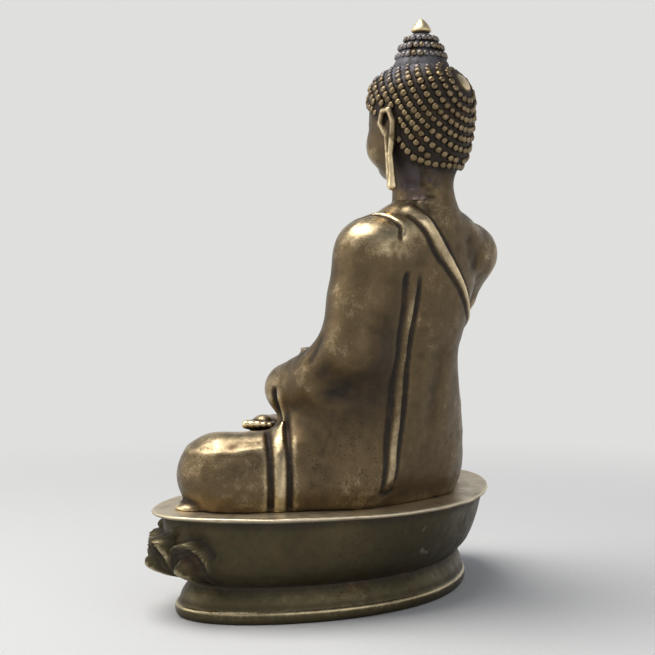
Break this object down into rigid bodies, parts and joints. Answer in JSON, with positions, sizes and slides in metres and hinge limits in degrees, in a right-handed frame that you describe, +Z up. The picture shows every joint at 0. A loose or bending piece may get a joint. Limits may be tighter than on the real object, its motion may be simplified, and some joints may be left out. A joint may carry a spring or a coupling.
{
  "type": "buddha statue",
  "caption": "Seated Buddha in the earth-touching pose on an oval lotus pedestal, hollow cast in brass, with a lift-off alms bowl in the lap.",
  "frame": {"origin": "under the middle of the whole statue, seen from above, on the surface that it stands on", "axes": "+Z up; the figure faces -Y; +X points to the figure's own left-hand side"},
  "size_m": [0.1536, 0.101, 0.2],
  "materials": {
    "pedestal_brass": "aged cast brass, dark in the recesses",
    "plate_brass": "aged cast brass with a worn bright edge",
    "copper_sheet": "dull copper sheet",
    "body_brass": "aged cast brass, rubbed bright on the shoulders and knees",
    "head_brass": "aged cast brass, dark between the curls",
    "jewel_brass": "clean brass",
    "bowl_brass": "aged brass, smooth",
    "pin_brass": "filed brass wire",
    "stick_wood": "unvarnished softwood",
    "scroll_paper": "rolled handmade paper",
    "thread_cotton": "twisted cotton thread"
  },
  "bodies": {
    "statue": {"pedestal_shell": "pedestal_brass", "seat_plate": "plate_brass", "sealing_plate": "copper_sheet", "figure_body": "body_brass", "head": "head_brass", "finial_jewel": "jewel_brass", "life_stick": "stick_wood", "mantra_scroll": "scroll_paper", "tang_pin_left": "pin_brass", "tang_pin_right": "pin_brass", "tang_pin_front": "pin_brass", "scroll_thread_lower": "thread_cotton", "scroll_thread_upper": "thread_cotton"},
    "bowl": {"alms_bowl": "bowl_brass"}
  },
  "joints": [
    {"name": "bowl_lift", "type": "slide", "parent": "statue", "child": "bowl", "axis": [0, 0, 1], "range_m": [0, 0.06]}
  ]
}
